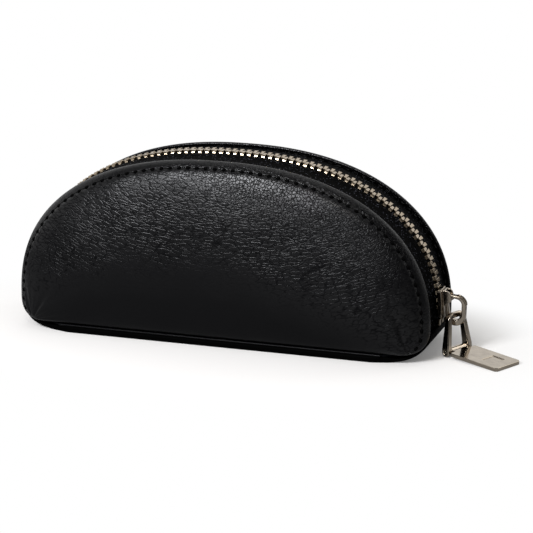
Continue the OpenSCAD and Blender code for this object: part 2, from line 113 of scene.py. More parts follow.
# %% [markdown]
# ## The studio
#
# Black leather and nickel live from what they reflect, so the room matters as much as the lamps.
# An image of a real room could light the case, but a few ranges over the direction are simpler
# to steer. The wall behind the case and the one at its left are white, and the room behind the
# camera is nearly dark. Only mirrored rays see those walls. The light that fills the shadows is
# even and weak, and what the camera itself sees of the room is white.
#
# Four soft lamps do the rest. The strongest, at the left above the camera, draws the sheen on
# the upper leather, and a small one at its right reaches the right shoulder. One overhead finds
# the edges, and a weak one at the right behind opens the shadow there.

# %% Helpers for nodes and colours
def fill(tree, node, inputs):
    """Fills a node's inputs with plain values or with links. A link is given as a socket, or as
    a node whose first output is meant."""
    for name, value in inputs.items():
        if isinstance(value, bpy.types.Node):
            value = value.outputs[0]
        if isinstance(value, bpy.types.NodeSocket):
            tree.links.new(value, node.inputs[name])
        else:
            node.inputs[name].default_value = value


def add(tree, kind, inputs=None, **settings):
    """Adds a node, sets its settings and fills its inputs."""
    made = tree.nodes.new(kind)
    for name, value in settings.items():
        setattr(made, name, value)
    fill(tree, made, inputs or {})
    return made


def linear(code):
    """A colour written as sRGB hex, turned to linear light: low values are divided by 12.92,
    the others follow a power of 2.4."""
    parts = np.array([int(code[i:i + 2], 16) for i in (1, 3, 5)]) / 255
    low = parts <= 0.04045
    return (*np.where(low, parts / 12.92, ((parts + 0.055) / 1.055) ** 2.4).tolist(), 1)


MATH, VECTOR, RANGE, MIX = (f"ShaderNode{kind}" for kind in ("Math", "VectorMath", "MapRange",
                                                             "Mix"))
NOISE, CELLS, BUMP = (f"ShaderNode{kind}" for kind in ("TexNoise", "TexVoronoi", "Bump"))
EASED = {"interpolation_type": "SMOOTHSTEP"}  # a range whose two ends are rounded off
print("white as light:", linear("#ffffff"))

# %% World
world = bpy.data.worlds.new("studio")
bpy.context.scene.world = world
world.use_nodes = True
tree = world.node_tree
tree.nodes.clear()
rays = add(tree, "ShaderNodeLightPath")
way = add(tree, "ShaderNodeTexCoord").outputs["Generated"]
right, back, _ = add(tree, "ShaderNodeSeparateXYZ", {0: way}).outputs
behind = add(tree, RANGE, {"Value": back, "From Min": -0.30, "From Max": 0.40,
                           "To Min": 0.07, "To Max": 1.0}, **EASED)
left = add(tree, RANGE, {"Value": right, "From Min": -0.9, "From Max": -0.5,
                         "To Min": 1.0, "To Max": 0.0}, **EASED)
room = add(tree, MATH, {0: behind, 1: left}, operation="MAXIMUM")
mirrored = add(tree, MATH, {0: rays.outputs["Is Glossy Ray"],
                            1: rays.outputs["Is Transmission Ray"]}, operation="MAXIMUM")
seen = add(tree, MIX, {"Factor": mirrored, "A": 0.36, "B": room})
shown = add(tree, MIX, {"Factor": rays.outputs["Is Camera Ray"], "A": seen, "B": 1.0})
light = add(tree, "ShaderNodeBackground", {"Color": (1, 1, 1, 1), "Strength": shown})
add(tree, "ShaderNodeOutputWorld", {"Surface": light})
print("world:", world.name, "of", len(tree.nodes), "nodes")

# %% Lamps
def lamp(name, at, size, power, colour):
    """A square lamp of that size, in millimetres, that faces the case."""
    data = bpy.data.lights.new(name, "AREA")
    data.size = size * MM
    data.energy = power
    data.color = colour
    made = bpy.data.objects.new(name, data)
    made.location = Vector(at) * MM
    made.rotation_euler = (target - Vector(at)).to_track_quat("-Z", "Y").to_euler()
    bpy.context.scene.collection.objects.link(made)


lamp("front_above", (-200, -640, 430), 250, 6.8, (0.95, 0.96, 1.0))
lamp("front_right", (70, -580, 600), 190, 1.1, (1.0, 0.97, 0.93))
lamp("overhead", (-60, 60, 820), 560, 0.6, (1.0, 1.0, 1.0))
lamp("right_behind", (420, 330, 420), 260, 0.3, (1.0, 1.0, 1.0))
print("lamps:", len(bpy.data.lights))

# %% [markdown]
# ## The table
#
# The table is plain white paper. Near the case it is a matt surface that takes the shadow. In an
# oval round the case it fades to the white of the room, so it has no visible end and needs no
# backdrop. To all rays but the camera's own it is grey, and darker further off, because that is
# what the lower leather and the puller show of it.

# %% Table
floor_mesh = bpy.data.meshes.new("table_top")
floor_mesh.from_pydata([(-6, -6, 0), (6, -6, 0), (6, 6, 0), (-6, 6, 0)], [], [(0, 1, 2, 3)])
table_top = bpy.data.objects.new("table_top", floor_mesh)
bpy.context.scene.collection.objects.link(table_top)
paper = bpy.data.materials.new("white_paper")
paper.use_nodes = True
tree = paper.node_tree
tree.nodes.clear()
camera_ray = add(tree, "ShaderNodeLightPath").outputs["Is Camera Ray"]
spot = add(tree, "ShaderNodeTexCoord").outputs["Object"]
reach = add(tree, VECTOR, {0: spot}, operation="LENGTH").outputs["Value"]
narrow = add(tree, VECTOR, {0: spot, 1: (1.0, 1.7, 1.0)}, operation="MULTIPLY")
oval = add(tree, VECTOR, {0: narrow}, operation="LENGTH").outputs["Value"]
off = add(tree, RANGE, {"Value": reach, "From Min": 0.12, "From Max": 0.22}, **EASED)
bounced = add(tree, MIX, {"Factor": off, "A": linear("#a8a8a8"), "B": linear("#585858")},
              data_type="RGBA").outputs["Result"]
tone = add(tree, MIX, {"Factor": camera_ray, "A": bounced, "B": linear("#f5f3f0")},
           data_type="RGBA").outputs["Result"]
matt = add(tree, "ShaderNodeBsdfDiffuse", {"Color": tone})
glow = add(tree, "ShaderNodeEmission", {"Color": (1, 1, 1, 1), "Strength": 1.0})
far = add(tree, RANGE, {"Value": oval, "From Min": 0.084, "From Max": 0.140,
                        "To Min": 0.12, "To Max": 1.0}, **EASED)
share = add(tree, MATH, {0: camera_ray, 1: far}, operation="MULTIPLY")
both = add(tree, "ShaderNodeMixShader", {0: share, 1: matt, 2: glow})
add(tree, "ShaderNodeOutputMaterial", {"Surface": both})
floor_mesh.materials.append(paper)
table_top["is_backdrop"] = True
print("table:", table_top.name)

# %% [markdown]
# ## Sizes
#
# These are the sizes that the solid model was drawn with. Some could be measured on the solids,
# but a seam or a fold has no box of its own, so the skins made here repeat all of them. Each
# skin then lies where its solid is.

# %% Sizes, in millimetres
# A and RISE or B are an arch's half width and its height, and FOOT is the height of its lower
# end. X runs along the case, Y is a distance from its middle plane, Z a height over the table.
ZIP_A, ZIP_RISE, ZIP_FOOT = 79.9, 57.0, 12.8
EDGE_A, EDGE_B, SEAM_A, SEAM_B = 80.7, 57.2, 78.4, 54.9
EDGE_Y, SEAM_Y, FOOT_Y, BASE_EDGE_Y = 15.0, 18.8, 21.2, 19.0
EDGE_FOOT, SEAM_FOOT = 3.3, 3.9
FLAT_X, BELLY_Y, BELLY_Z = 68.9, 25.6, 23.03
BAND_IN, BAND_DEEP, BAND_FOOT_IN, BAND_FOOT_DEEP = 2.3, 3.8, 0.6, 2.2
LEATHER, FOAM, LINING, GAP = 1.3, 1.8, 0.6, 0.15
FULLNESS, CORNER_FULLNESS = 2.27, 2.5
STITCH_PITCH, STITCH_LENGTH, THREAD = 3.5, 2.1, 1.2
TAPE, TOOTH_PITCH = 0.6, 2.75
STEPS = (264, 40, 116)  # of a side's line: over the arch, round a lower corner, along the base
HALVES = (("front", True), ("rear", False))
print("the arch is", 2 * EDGE_A, "mm wide and", ZIP_FOOT + EDGE_B, "mm high")

# %% [markdown]
# ## How a side is drawn
#
# Seen from the front, a side is an arch on two rounded corners and a straight base. The arch is
# a superellipse, a curve between an ellipse and a rectangle, as leather takes when it is
# stretched over a former. The same closed line, drawn larger or smaller, gives the edge, the
# seam and every ring of the swelling between seam and belly, so one function serves them all.

# %% The closed line round a side
def arch_line(a, b, turn):
    """Points of the arch at these angles from its right foot: the radius is one over the n-th
    root of the sum of |cos|/a and |sin|/b, each to the power n."""
    c, s = np.cos(turn), np.sin(turn)
    r = ((np.abs(c) / a) ** FULLNESS + (np.abs(s) / b) ** FULLNESS) ** (-1 / FULLNESS)
    return r * c, ZIP_FOOT + r * s


def side_line(a, b, foot, steps=STEPS):
    """The closed line as x, z and share, which is 0 on the arch and grows to 1 on the base:
    over the arch, down round the left corner, along the base and up round the right corner."""
    arch_steps, corner_steps, base_steps = steps
    ax, az = arch_line(a, b, np.radians(np.linspace(0, 180, arch_steps + 1)))
    t = np.radians(np.linspace(0, 90, corner_steps + 1))[1:]
    power = 2 / CORNER_FULLNESS
    cx = FLAT_X + (a - FLAT_X) * np.abs(np.cos(t)) ** power
    cz = ZIP_FOOT - (ZIP_FOOT - foot) * np.sin(t) ** power
    cs = np.sin(t) ** 1.5
    bx = FLAT_X * np.linspace(-1, 1, base_steps + 1)[1:-1]
    x = np.concatenate([ax, -cx, bx, cx[::-1]])
    z = np.concatenate([az, cz, np.full(len(bx), foot), cz[::-1]])
    s = np.concatenate([np.zeros(len(ax)), cs, np.ones(len(bx)), cs[::-1]])
    return x, z, s


print("points round a side:", len(side_line(EDGE_A, EDGE_B, EDGE_FOOT)[0]))

# %% Skin and turned edge
OVAL_X, OVAL_Z, SWELL = 0.62, 0.08, 1.7


def skin(deep, v, steps=STEPS):
    """A side's skin, sunk by deep: from the seam at v = 0 each ring shrinks in to a low flat
    oval at v = 1, while its depth rises to the belly like a superellipse of power SWELL. Returns
    rows of points, one row for each v, on the front side (y negative)."""
    x, z, s = side_line(SEAM_A - deep, SEAM_B - deep, SEAM_FOOT + deep, steps)
    v = np.asarray(v, float)[:, None]
    w = np.clip(v, 0, 1)
    rise = (1 - (1 - w) ** SWELL) ** (1 / SWELL)
    rim = SEAM_Y - deep + (FOOT_Y - SEAM_Y) * s
    px = x * (1 - w) + OVAL_X * x * w
    pz = z * (1 - w) + (BELLY_Z + OVAL_Z * (z - BELLY_Z)) * w
    inward = np.clip(2 - v, 0, 1)  # past v = 1 the flat oval closes to its middle at v = 2
    py = -(rim + (BELLY_Y - deep - rim) * rise)
    return np.stack([px * inward, py, BELLY_Z + (pz - BELLY_Z) * inward], -1)


def band_point(inset, depth):
    """A line round the side, inset from its edge and set back from its mouth, in millimetres of
    the arch. Along the base both shrink, as the band is thinner and less deep there."""
    x, z, s = side_line(EDGE_A - inset, EDGE_B - inset,
                        EDGE_FOOT + inset * (BAND_FOOT_IN / BAND_IN))
    y_edge = EDGE_Y + (BASE_EDGE_Y - EDGE_Y) * s
    y = y_edge + depth * (1 - s * (1 - BAND_FOOT_DEEP / BAND_DEEP))
    return np.stack([x, -y, z], -1)


print("the case is", 2 * round(np.abs(skin(0, [1.0])[..., 1]).max(), 1), "mm deep")

# %% Where the stitches sit
def stitch_places():
    """The line on which a side is sewn, the columns of it that carry stitches, in order from the
    right foot over the arch to the left one, how far along each column lies, and how far along
    each stitch lies."""
    line = band_point(2.42, 3.72)
    bare = side_line(EDGE_A, EDGE_B, EDGE_FOOT)[2] >= 0.85  # no stitches along the base
    columns = np.roll(np.arange(len(line)), STEPS[1])
    columns = columns[~bare[columns]]
    steps = np.linalg.norm(np.diff(line[columns], axis=0), axis=1)
    far = np.concatenate([[0], np.cumsum(steps)])
    places = np.arange(STITCH_PITCH, far[-1] - STITCH_PITCH / 2, STITCH_PITCH)
    return line, columns, far, places


print("stitches in a side:", len(stitch_places()[3]))

# %% [markdown]
# ## From a grid of points to a mesh
#
# Most skins here are grids: rows and columns of points that are worked out as whole arrays.
# They could be modelled by hand from a subdivided box, but a formula puts each point where the
# solid's own curve runs. One function turns such a grid into a mesh, joins the columns where they
# close round, and welds the points that meet at a pole. It measures the volume that the faces
# enclose, whose sign tells whether they point outwards, and turns them round if they don't.

# %% Mesh to piece
def finish_mesh(name, mesh, material, body=None, smooth_angle=None):
    """Makes the object, gives it its material and slot, and lets it ride on a body."""
    made = bpy.data.objects.new(name, mesh)
    bpy.context.scene.collection.objects.link(made)
    mesh.materials.clear()
    mesh.materials.append(material)
    mesh.polygons.foreach_set("use_smooth", np.ones(len(mesh.polygons), bool))
    if smooth_angle is not None:
        mesh.set_sharp_from_angle(angle=math.radians(smooth_angle))
    if body:
        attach(made, body)
    return made


def weld(mesh, distance):
    """Joins the points of a mesh that lie closer together than that, in metres."""
    work = bmesh.new()
    work.from_mesh(mesh)
    bmesh.ops.remove_doubles(work, verts=work.verts, dist=distance)
    work.to_mesh(mesh)
    work.free()


print("a piece gets a material, a slot and a body")

# %% Grid to mesh
def grid_mesh(name, points, u=None, v=None, wrap_rows=False):
    """A mesh from rows and columns of points in millimetres, whose columns close round. u and
    v are distances along the columns and rows, in millimetres, for the map of the surface."""
    rows, cols = points.shape[:2]
    index = np.arange(rows * cols).reshape(rows, cols)
    if wrap_rows:
        index = np.vstack([index, index[:1]])
    right = np.roll(index, -1, 1)
    quads = np.stack([index[:-1], right[:-1], right[1:], index[1:]], -1).reshape(-1, 4)
    flat = points.reshape(-1, 3)
    a, b, c, d = (flat[quads[:, k]] for k in range(4))
    volume = np.einsum("ij,ij->i", a, np.cross(b, c)) + np.einsum("ij,ij->i", a, np.cross(c, d))
    inside_out = volume.sum() < 0
    if inside_out:
        quads = quads[:, ::-1]
    mesh = bpy.data.meshes.new(name)
    mesh.from_pydata((flat * MM).tolist(), [], quads.tolist())
    if u is not None:
        n_rows = index.shape[0] - 1
        cu = np.stack([u[:-1], u[1:], u[1:], u[:-1]], -1)
        cu = np.broadcast_to(cu, (n_rows, cols, 4)).reshape(-1, 4)
        cv = np.stack([v[:-1], v[:-1], v[1:], v[1:]], -1)
        cv = np.broadcast_to(cv[:, None], (n_rows, cols, 4)).reshape(-1, 4)
        if inside_out:
            cu, cv = cu[:, ::-1], cv[:, ::-1]
        layer = mesh.uv_layers.new(name="along")
        layer.data.foreach_set("uv", np.stack([cu, cv], -1).astype(np.float32).ravel() * MM)
    weld(mesh, 1e-8)
    return mesh


def along(points, closed=True):
    """Distances along a line of points, with the way back to the first one if it is closed."""
    ring = np.vstack([points, points[:1]]) if closed else points
    return np.concatenate([[0], np.cumsum(np.linalg.norm(np.diff(ring, axis=0), axis=1))])


print("a side's edge is", round(along(band_point(0, 0))[-1]), "mm round")

# %% [markdown]
# ## How a side bends
#
# The case opens by its leather: a side is sewn to the base at its foot, so it bends over its
# height instead of swinging like a door. Bones with painted weights could bend it. A blend
# between two bodies, from one height to another, says the same and leaves nothing to paint.

# %% Bend with a side
def bend_with_side(piece, front):
    """Lets a piece stay with the base up to 20 mm and follow its side fully from 76 mm, with an
    even blend of both between."""
    y = -FOOT_Y if front else FOOT_Y
    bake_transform(piece, "base", "front_side" if front else "rear_side",
             start=(0, y * MM, 20 * MM), end=(0, y * MM, 76 * MM))


print("sides bend between 20 and 76 mm up")

# %% [markdown]
# ## The leather
#
# The case is covered with black calf, aniline dyed and lightly waxed. Close up it is a net of
# small pebbles. Where the hide is bent over the belly the pebbles run together into long fine
# wrinkles that hang a little, and near the base, where it is pulled tight, it is nearly smooth.
#
# A noise pattern alone gives lumps without edges. Cells do better: only the distance to the
# nearest cell edge is used, so the cells are flat pads and their edges are the creases. One net
# is plain, and two are stretched sideways and bent by noise. Masks by place and by noise decide
# which net shows where. The creases trap shadow, and that shade is painted: they are darker in
# colour than the pads and mirror less. They are also duller. The finest are 1.2 mm apart, a
# little coarser than the hide's own, so that they show.

# %% Creases
def creases(tree, where, size, stretch, bend, width):
    """Depth of a net of cells of that size in millimetres: 1 in the creases and 0 on the pads.
    The place is stretched and is bent by noise before the cells are looked up."""
    wobble = add(tree, NOISE, {"Vector": where, "Scale": 1 / (3.2 * size * MM),
                               "Detail": 2.0, "Roughness": 0.6}).outputs["Color"]
    centred = add(tree, VECTOR, {0: wobble, 1: (0.5, 0.5, 0.5)}, operation="SUBTRACT")
    push = add(tree, VECTOR, {0: centred, "Scale": bend * size * MM}, operation="SCALE")
    bent = add(tree, VECTOR, {0: where, 1: push}, operation="ADD")
    long = add(tree, VECTOR, {0: bent, 1: stretch}, operation="MULTIPLY")
    cells = add(tree, CELLS, {"Vector": long, "Scale": 1 / (size * MM)},
                feature="DISTANCE_TO_EDGE")
    return add(tree, RANGE, {"Value": cells, "From Max": width, "To Min": 1.0, "To Max": 0.0},
               **EASED)


def new_material(name):
    """A material with its tree and its shader, ready for nodes."""
    made = bpy.data.materials.new(name)
    made.use_nodes = True
    return made, made.node_tree, made.node_tree.nodes["Principled BSDF"]


PLUS = {"operation": "MULTIPLY_ADD"}  # first times second, plus third
print("creases ready")

# %% Calf
def calf(name, pad_colour, crease_shade_colour, gloss, depth, pebble, wrinkle, shine):
    """Black calf: pads with dark creases between them, cut to that depth in millimetres and
    weighted by pebble and wrinkle. The creases are duller than the pads, and their darker colour
    and weaker mirror are painted shade for the shadow that falls in them."""
    made, tree, shader = new_material(name)
    where = add(tree, "ShaderNodeTexCoord").outputs["Object"]
    x, y, z = add(tree, "ShaderNodeSeparateXYZ", {0: where}).outputs
    # level lines are bent into sagging ones by the square of the distance from the middle
    squared = add(tree, MATH, {0: x, 1: x}, operation="MULTIPLY")
    sag = add(tree, MATH, {0: squared, 1: -2.4, 2: z}, **PLUS)
    sagging = add(tree, "ShaderNodeCombineXYZ", {"X": x, "Y": y, "Z": sag})
    fine = creases(tree, where, 1.2, (1, 1, 1), 0.7, 0.13)
    long = creases(tree, sagging, 1.25, (0.34, 0.7, 1), 1.0, 0.15)
    broad = creases(tree, sagging, 3.6, (0.42, 0.7, 1), 0.9, 0.07)
    patches = add(tree, NOISE, {"Vector": where, "Scale": 1 / (14 * MM), "Detail": 2.0})
    # the smooth strip over the base ends 30 mm up in the middle and lower towards both ends
    off_middle = add(tree, MATH, {0: x, 1: 0.012}, operation="ADD")
    far_off = add(tree, MATH, {0: off_middle, 1: off_middle}, operation="MULTIPLY")
    level = add(tree, MATH, {0: far_off, 1: 4.5, 2: z}, **PLUS)
    height = add(tree, MATH, {0: patches, 1: 0.012, 2: level}, **PLUS)
    upper = add(tree, RANGE, {"Value": height, "From Min": 0.024, "From Max": 0.048,
                              "To Min": 0.03}, **EASED)
    # pebbles on the upper right, wrinkles everywhere else
    slope = add(tree, MATH, {0: x, 1: 0.4, 2: z}, **PLUS)
    pebbled = add(tree, RANGE, {"Value": slope, "From Min": 0.050, "From Max": 0.072}, **EASED)
    patchy = add(tree, RANGE, {"Value": patches, "From Min": 0.3, "From Max": 0.7,
                               "To Min": 0.5}, **EASED)
    unpebbled = add(tree, MATH, {0: pebbled, 1: -0.55, 2: 1.0}, **PLUS)
    wrinkled = add(tree, MATH, {0: unpebbled, 1: upper}, operation="MULTIPLY")
    few = add(tree, MATH, {0: wrinkled, 1: patchy}, operation="MULTIPLY")
    spread = add(tree, MATH, {0: pebbled, 1: 0.9, 2: 0.16}, **PLUS)
    pebbly = add(tree, MATH, {0: spread, 1: upper}, operation="MULTIPLY")
    # how far the nets are sunk: the sum of each one times its mask and its weight
    sunk = 0.0
    for net, mask, weight in ((long, wrinkled, wrinkle), (broad, few, 0.7 * wrinkle),
                              (fine, pebbly, pebble)):
        weighted = add(tree, MATH, {0: mask, 1: weight}, operation="MULTIPLY")
        sunk = add(tree, MATH, {0: net, 1: weighted, 2: sunk}, **PLUS)
    pores = add(tree, NOISE, {"Vector": where, "Scale": 1 / (0.35 * MM), "Detail": 3.0,
                              "Roughness": 0.65})
    fine_lumps = add(tree, MATH, {0: pores, 1: 0.10}, operation="MULTIPLY")
    relief = add(tree, MATH, {0: sunk, 1: -1.0, 2: fine_lumps}, **PLUS)
    bump = add(tree, BUMP, {"Height": relief, "Distance": depth * MM, "Strength": 1.0})
    # cut marks the creases: their colour is painted darker and their mirror is lowered, painted shade for
    # the shadow in them; they are also made duller
    cut = add(tree, RANGE, {"Value": sunk, "From Min": 0.15, "From Max": 1.3}, **EASED)
    colour = add(tree, MIX, {"Factor": cut, "A": linear(pad_colour), "B": linear(crease_shade_colour)},
                 data_type="RGBA").outputs["Result"]
    waxed = add(tree, RANGE, {"Value": patches, "From Min": 0.3, "From Max": 0.7,
                              "To Min": gloss + 0.03, "To Max": gloss - 0.02}, **EASED)
    rough = add(tree, MATH, {0: cut, 1: 0.08, 2: waxed}, **PLUS)
    open_part = add(tree, MATH, {0: cut, 1: -0.65, 2: 1.0}, **PLUS)
    polish = add(tree, MATH, {0: upper, 1: 0.5 * shine, 2: 0.5 * shine}, **PLUS)
    mirror = add(tree, MATH, {0: open_part, 1: polish}, operation="MULTIPLY")
    fill(tree, shader, {"Base Color": colour, "Roughness": rough, "Specular IOR Level": mirror,
                        "Normal": bump})
    return made


# Waxed calf: a soft wide sheen on the pads, and painted black shade where the hide is cut by a crease.
black_calf = calf("black_calf", "#040405", "#020203", 0.31, 0.042, 1.2, 1.0, 0.30)
# The same hide, skived thin and folded: tighter, so smoother and a little glossier, with the same painted
# shade in its creases.
edge_calf = calf("black_calf_edge", "#040405", "#030303", 0.26, 0.05, 0.9, 0.5, 0.30)
# The sole's thick calf is not waxed, so it stays dull. Its colour is painted darker than the sides', painted
# shade for the sole low under the swelling sides.
sole_calf = calf("black_calf_sole", "#020202", "#020202", 0.6, 0.10, 0.8, 0.2, 0.02)
# A narrow strip pulled round a cord: nearly free of grain, with one thin line of light, and the same painted
# shade in its few creases.
piping_calf = calf("black_calf_piping", "#050506", "#030303", 0.33, 0.04, 0.5, 0.1, 0.10)
print("leathers:", *(hide.name for hide in (black_calf, edge_calf, sole_calf, piping_calf)))

# %% [markdown]
# ## The metal
#
# The zip and its puller are zinc, cast or stamped, tumbled and then nickel plated. Nickel is a
# warm grey. A perfect mirror would look like chrome, so two things break it: fine marks that
# tumbling leaves, and slow changes of colour and gloss where fingers have dulled it.

# %% Nickel
def plated(name, colour, worn_colour, gloss):
    """Nickel plate: fine marks a third of a millimetre long and slow changes of gloss."""
    made, tree, shader = new_material(name)
    where = add(tree, "ShaderNodeTexCoord").outputs["Object"]
    cloud = add(tree, NOISE, {"Vector": where, "Scale": 1 / (3 * MM), "Detail": 3.0})
    marks = add(tree, NOISE, {"Vector": where, "Scale": 1 / (0.35 * MM), "Detail": 4.0,
                              "Roughness": 0.7})
    tint = add(tree, MIX, {"Factor": cloud, "A": linear(colour), "B": linear(worn_colour)},
               data_type="RGBA").outputs["Result"]
    rough = add(tree, RANGE, {"Value": cloud, "From Min": 0.3, "From Max": 0.7,
                              "To Min": gloss - 0.05, "To Max": gloss + 0.07})
    bump = add(tree, BUMP, {"Height": marks, "Distance": 0.012 * MM, "Strength": 0.6})
    fill(tree, shader, {"Base Color": tint, "Roughness": rough, "Normal": bump, "Metallic": 1})
    return made


# Plated and tumbled smooth: clear reflections with a slightly soft edge.
nickel = plated("nickel_plate", "#baaf9f", "#91877a", 0.13)
# Teeth are plated as they were cast, so they are duller and a shade more yellow.
tooth_nickel = plated("nickel_teeth", "#b9aa94", "#8c7e6a", 0.24)
print("metals:", nickel.name, tooth_nickel.name)

# %% [markdown]
# ## Tape, lining, foam, board and thread
#
# The tape is a close polyester knit whose loops catch small points of light; here those points
# are painted, as grey on the tops of the loops. The lining is a plain weave, the foam has open
# cells, the board is pressed fibre, and the thread is waxed polyester. Cloth patterns follow the
# piece's own map, which is unrolled in millimetres, so the threads turn with the surface. The
# loops are 0.95 mm apart and the weave's threads 0.8 mm, both coarser than real ones, so that
# they show.

# %% Cloths
def fabric(name, dark, pale, pitch, depth, gloss, knit):
    """A cloth whose threads follow the surface's own map, pitch apart in millimetres: a net of
    round loops for a knit, or else two waves at right angles. The tops of the relief take the pale
    colour: on the knit that is painted highlight, the glints of its loops; on the weave it is the
    weave's pattern."""
    made, tree, shader = new_material(name)
    where = add(tree, "ShaderNodeTexCoord").outputs["UV"]
    if knit:
        loops = add(tree, CELLS, {"Vector": where, "Scale": 1 / (pitch * MM),
                                  "Randomness": 0.8})
        threads = add(tree, RANGE, {"Value": loops, "From Max": 0.55, "To Min": 1.0,
                                    "To Max": 0.0})
    else:
        warp, weft = [add(tree, "ShaderNodeTexWave",
                          {"Vector": where, "Scale": math.pi / 10 / (pitch * MM),
                           "Distortion": 0.6, "Detail": 1.0},
                          wave_type="BANDS", bands_direction=across).outputs["Fac"]
                      for across in "XY"]
        threads = add(tree, MATH, {0: warp, 1: weft}, operation="MULTIPLY")
    fuzz = add(tree, NOISE, {"Vector": where, "Scale": 1 / (0.5 * MM), "Detail": 3.0})
    relief = add(tree, MATH, {0: fuzz, 1: 0.35, 2: threads}, **PLUS)
    # the tops of the relief take the pale colour: painted highlight on the knit's loops, the weave's pattern
    # on the lining
    tops = add(tree, RANGE, {"Value": relief, "From Min": 0.64 if knit else 0.0,
                             "From Max": 1.15})
    tint = add(tree, MIX, {"Factor": tops, "A": linear(dark), "B": linear(pale)},
               data_type="RGBA").outputs["Result"]
    bump = add(tree, BUMP, {"Height": relief, "Distance": depth * MM})
    fill(tree, shader, {"Base Color": tint, "Normal": bump, "Roughness": gloss,
                        "Specular IOR Level": 0.01})
    return made


# Dyed black in the yarn; the grey on the tops of the loops is painted highlight, the small glints they
# catch.
tape_knit = fabric("zip_tape_knit", "#010101", "#64666f", 0.95, 0.30, 0.6, knit=True)
# A thin weave, even and matt.
lining_cloth = fabric("lining_weave", "#101012", "#26262a", 0.8, 0.12, 0.8, knit=False)
print("cloths:", tape_knit.name, lining_cloth.name)

# %% Foam, board and thread
def grainy(name, dark, pale, size, depth, gloss, mirror):
    """A plain grainy finish with grains of that size in millimetres."""
    made, tree, shader = new_material(name)
    where = add(tree, "ShaderNodeTexCoord").outputs["Object"]
    grain = add(tree, NOISE, {"Vector": where, "Scale": 1 / (size * MM), "Detail": 4.0,
                              "Roughness": 0.6})
    tint = add(tree, MIX, {"Factor": grain, "A": linear(dark), "B": linear(pale)},
               data_type="RGBA").outputs["Result"]
    bump = add(tree, BUMP, {"Height": grain, "Distance": depth * MM})
    fill(tree, shader, {"Base Color": tint, "Normal": bump, "Roughness": gloss,
                        "Specular IOR Level": mirror})
    return made


# Open cells swallow the light: matt, with a coarse grain.
foam_cells = grainy("open_cell_foam", "#404046", "#6b6b72", 0.8, 0.2, 0.95, 0.15)
# Pressed fibre: brown, flecked and dry.
grey_board = grainy("pressed_board", "#5d4f3d", "#86755e", 0.6, 0.05, 0.9, 0.15)
# Thread in a stitch hole lies in its own shadow; that shade is painted into its colour, pure black, and it
# barely mirrors.
waxed_thread = grainy("waxed_thread", "#000000", "#010101", 0.25, 0.05, 0.6, 0.03)
print("fillings and thread:", foam_cells.name, grey_board.name, waxed_thread.name)

# %% [markdown]
# ## The two sides
#
# Each side is one piece of calf over thin foam, drawn in at the seam and swelling to the belly.
# It could be pulled into shape by a cloth simulation, but the leather is glued to its foam and
# moulded, so its shape is known: the skin function gives it, and soft relief is laid on top. The
# relief is a slow unevenness all over, a puckered valley beside the seam that is deepest at each
# stitch, and folds that gather towards the two lower corners, where the flat hide has to turn.

# %% Relief of the hide
def waves(x, z, seed, count, longest, shortest):
    """Slow unevenness, mostly between -1 and 1: a sum of sines with seeded directions and
    phases, whose lengths run from longest to shortest and whose shorter waves are lower."""
    pick = np.random.default_rng(seed)
    total, weight = np.zeros_like(x), 0
    for length in np.geomspace(longest, shortest, count):
        turn, phase = pick.uniform(0, math.pi), pick.uniform(0, 2 * math.pi)
        total += length * np.sin((x * math.cos(turn) + z * math.sin(turn))
                                 * 2 * math.pi / length + phase)
        weight += length
    return total / weight * 1.6  # sines rarely add up, so their sum is stretched


def folds(x, z, corner_x, seed):
    """Gathers round a lower corner: three waves of the angle seen from the corner's centre,
    with seeded phases, highest 6 mm from that centre and gone about 22 mm further out."""
    pick = np.random.default_rng(seed)
    dx, dz = (x - corner_x) * np.sign(corner_x), z - 4
    reach = np.hypot(dx, dz)
    turn = np.arctan2(dz, -dx)
    total = np.zeros_like(x)
    for beats in (9, 14, 23):
        total += np.cos(beats * turn + 0.06 * reach + pick.uniform(0, 6.28)) * 7 / beats
    return total / 1.5 * np.exp(-((reach - 6) / 11) ** 2) * (reach > 0.1)


def outward(points):
    """Unit normals of a grid whose columns close round: the cross product of its steps along
    columns and rows."""
    du = np.roll(points, -1, 1) - np.roll(points, 1, 1)
    dv = np.gradient(points, axis=0)
    n = np.cross(du, dv)
    size = np.linalg.norm(n, axis=-1, keepdims=True)
    return n / np.maximum(size, 1e-9)


print("unevenness at five places:", waves(np.linspace(-60, 60, 5), 0, 11, 7, 46, 9).round(2))

# %% Sides of leather, foam and lining
UNEVEN, FOLD, PUCKER = 0.11, 0.34, 0.26  # heights of the relief, in millimetres


def swollen_layer(name, front, top, bottom, material, seed=None):
    """A closed layer of a side between two depths. The outer skin is drawn from the middle to
    the seam and the inner one back again. Only the leather has a seed, and so a relief."""
    fine = STEPS if seed is not None else (96, 14, 40)
    out_rows = 96 if seed is not None else 22
    v_out = np.concatenate([[2, 1.66, 1.33], np.linspace(1, 0, out_rows) ** 1.5])
    v_in = np.concatenate([np.linspace(0, 1, 14) ** 1.4, [1.5, 2]])
    outer = skin(top, v_out, fine)
    if seed is not None:
        n = outward(outer)
        n *= np.where(n[..., 1:2] > 0, -1, 1)
        x, z = outer[..., 0], outer[..., 2]
        v = v_out[:, None]
        fade = np.clip(v / 0.05, 0, 1)
        relief = UNEVEN * waves(x, z * 1.7, seed, 7, 46, 9) * fade
        for corner_x in (-74, 74):
            relief += FOLD * folds(x, z, corner_x, seed + 80 + corner_x) * fade
        columns, far = stitch_places()[1:3]
        beat = np.zeros(outer.shape[1])
        beat[columns] = 0.5 + 0.5 * np.cos(2 * math.pi * far / STITCH_PITCH)
        relief -= PUCKER * beat * np.exp(-((v - 0.006) / 0.012) ** 2)
        outer = outer + n * relief[..., None]
    inner = skin(bottom, v_in, fine)
    points = np.concatenate([outer, inner])
    if not front:
        points = points * (1, -1, 1)
    ring = along(skin(top, [0.3], fine)[0])
    down = along(points[:, 0], closed=False)
    mesh = grid_mesh(name, points, u=ring, v=down)
    piece = finish_mesh(name, mesh, material)
    bend_with_side(piece, front)
    return piece


